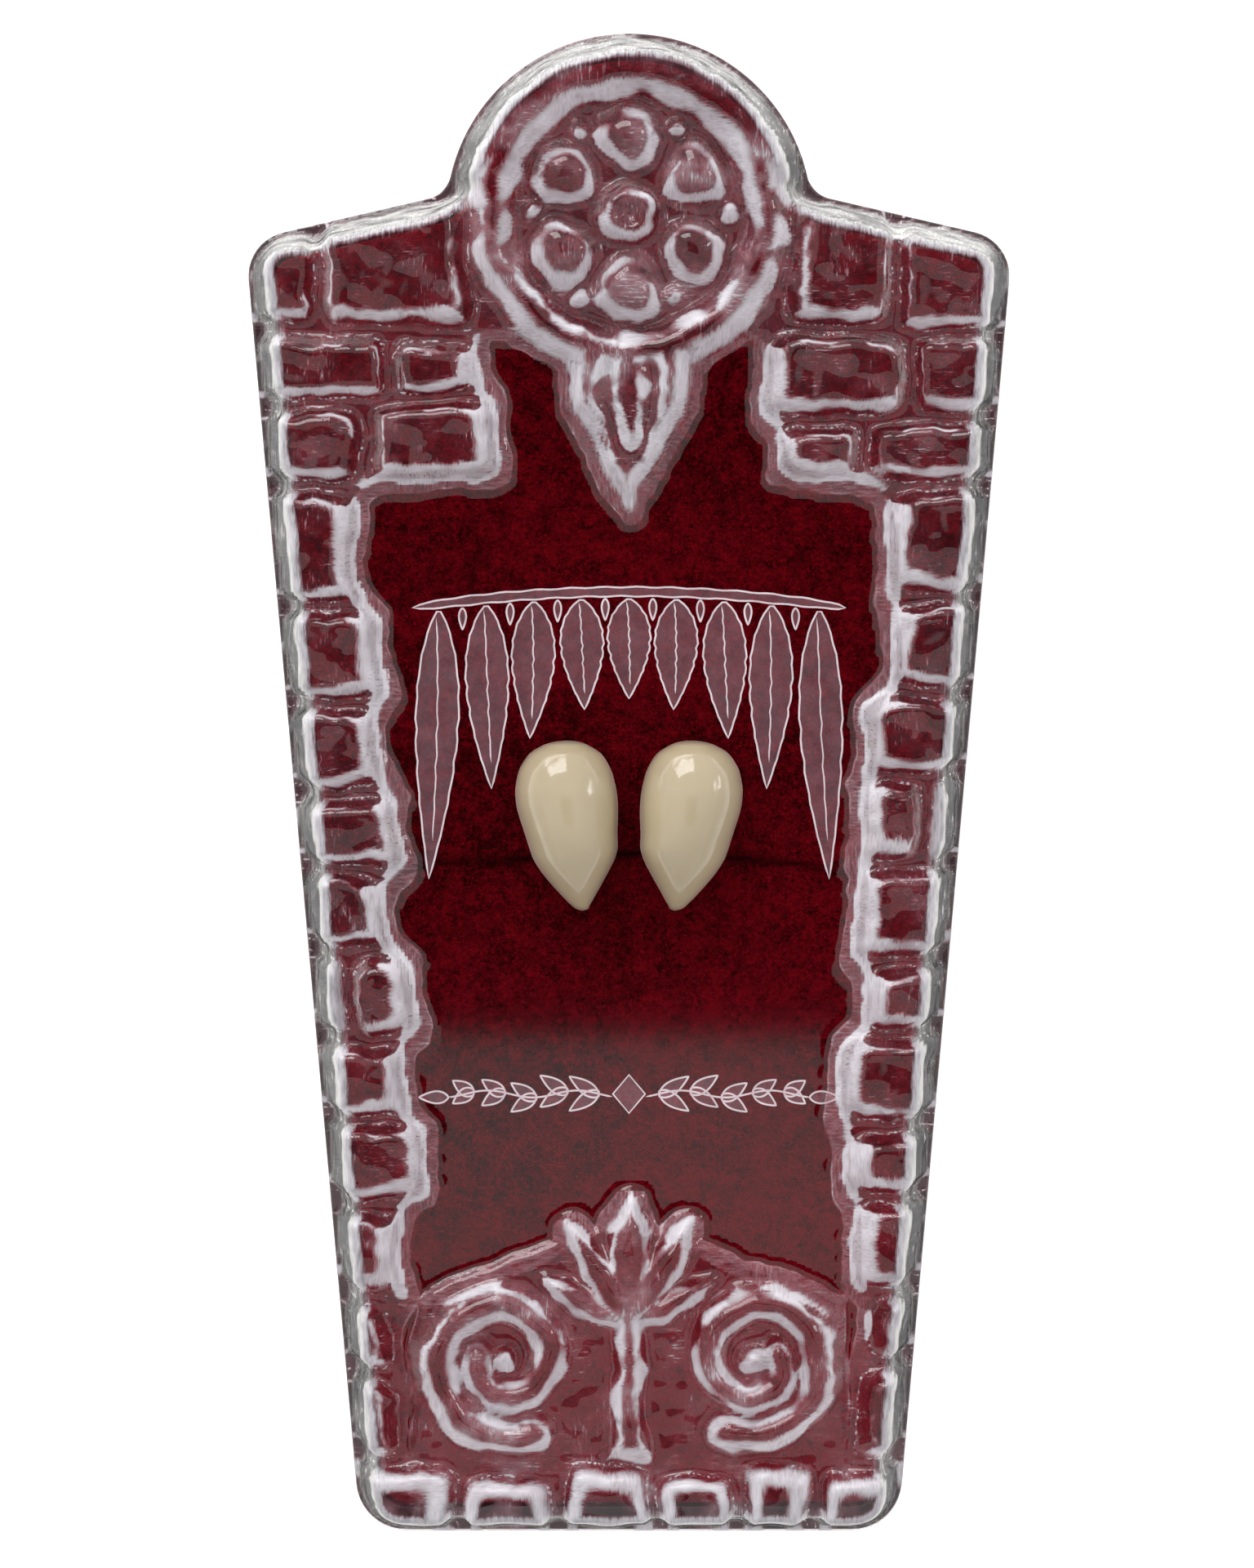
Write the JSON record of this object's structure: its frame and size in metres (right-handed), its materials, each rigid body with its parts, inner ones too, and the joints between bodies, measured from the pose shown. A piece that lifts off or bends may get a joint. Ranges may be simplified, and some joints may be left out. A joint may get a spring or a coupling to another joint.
{
  "type": "pair of vampire fang caps in a coffin display case",
  "caption": "Ivory vampire fang caps on a red velvet bed in a coffin-shaped case with a clear cover of raised stones, a rosette and scrollwork.",
  "frame": {"origin": "middle of the case's back, on the surface it lies on", "axes": "+X to the right as the picture shows it, +Y towards the domed head of the case, +Z out of its clear front"},
  "size_m": [0.0762, 0.15, 0.0261],
  "materials": {
    "black_plastic": "gloss",
    "red_velvet": "velvet pile",
    "clear_plastic": "clear, frosted on its slopes",
    "ivory_acrylic": "polished"
  },
  "bodies": {
    "root": {"case_tray": "black_plastic", "velvet_bed": "red_velvet", "case_cover": "clear_plastic", "fang_left": "ivory_acrylic", "fang_right": "ivory_acrylic"}
  },
  "joints": []
}
